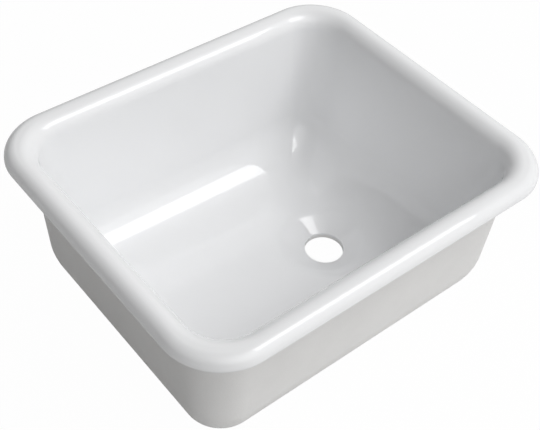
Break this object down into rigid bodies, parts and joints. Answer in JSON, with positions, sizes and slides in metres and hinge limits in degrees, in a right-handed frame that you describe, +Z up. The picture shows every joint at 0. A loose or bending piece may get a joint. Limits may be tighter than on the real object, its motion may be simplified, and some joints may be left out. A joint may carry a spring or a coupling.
{
  "type": "drop-in kitchen sink",
  "caption": "Rectangular self-rimming kitchen sink: one deep rounded bowl with a rolled rim all round and an off-centre round drain hole.",
  "frame": {"origin": "middle of the sink in plan, on the flat underside of the bowl", "axes": "+Z up out of the bowl, +X along the length towards the drain end, +Y across the width to the back"},
  "size_m": [0.508, 0.428, 0.24],
  "materials": {
    "acrylic": "gloss",
    "backing": "matte",
    "board": "matte",
    "rail": "matte"
  },
  "bodies": {
    "root": {"acrylic_skin": "acrylic", "glass_resin_backing": "backing", "floor_board": "board", "rim_rail_front": "rail", "rim_rail_back": "rail", "rim_rail_left": "rail", "rim_rail_right": "rail"}
  },
  "joints": []
}
